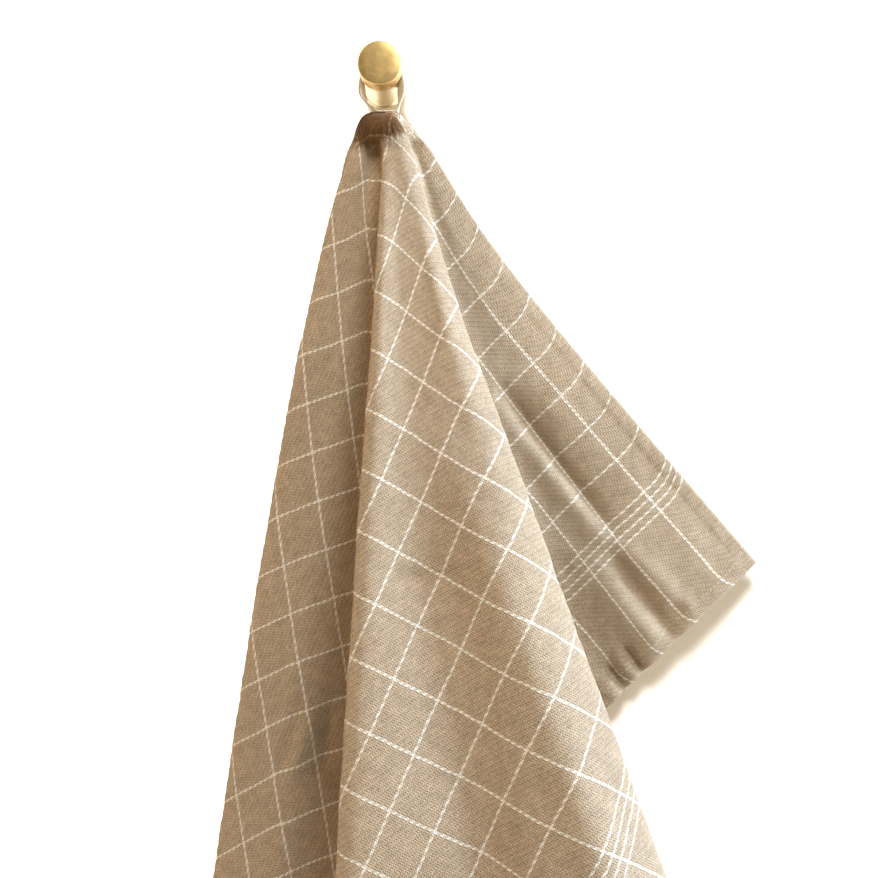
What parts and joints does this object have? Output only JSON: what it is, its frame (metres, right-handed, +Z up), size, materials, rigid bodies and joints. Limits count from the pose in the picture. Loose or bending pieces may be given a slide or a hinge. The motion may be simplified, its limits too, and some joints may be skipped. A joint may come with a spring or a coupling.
{
  "type": "tea towel on a wall peg",
  "caption": "Cotton tea towel hung from its sewn tape loop on a turned brass wall peg, falling in deep uneven pleats with one corner spread wide.",
  "frame": {"origin": "centre of the peg's round foot, on the wall", "axes": "+X to the right seen from the room, +Y into the wall, +Z up; the wall is the plane y = 0"},
  "size_m": [0.3343, 0.1262, 0.6488],
  "materials": {
    "towel_cloth": "matte cotton twill in taupe with a thin off-white windowpane check and a band of four close lines near each short end",
    "loop_tape": "matte off-white cotton tape",
    "peg_brass": "satin turned brass"
  },
  "bodies": {
    "root": {"towel": "towel_cloth", "hanging_loop": "loop_tape", "wall_peg": "peg_brass"}
  },
  "joints": []
}
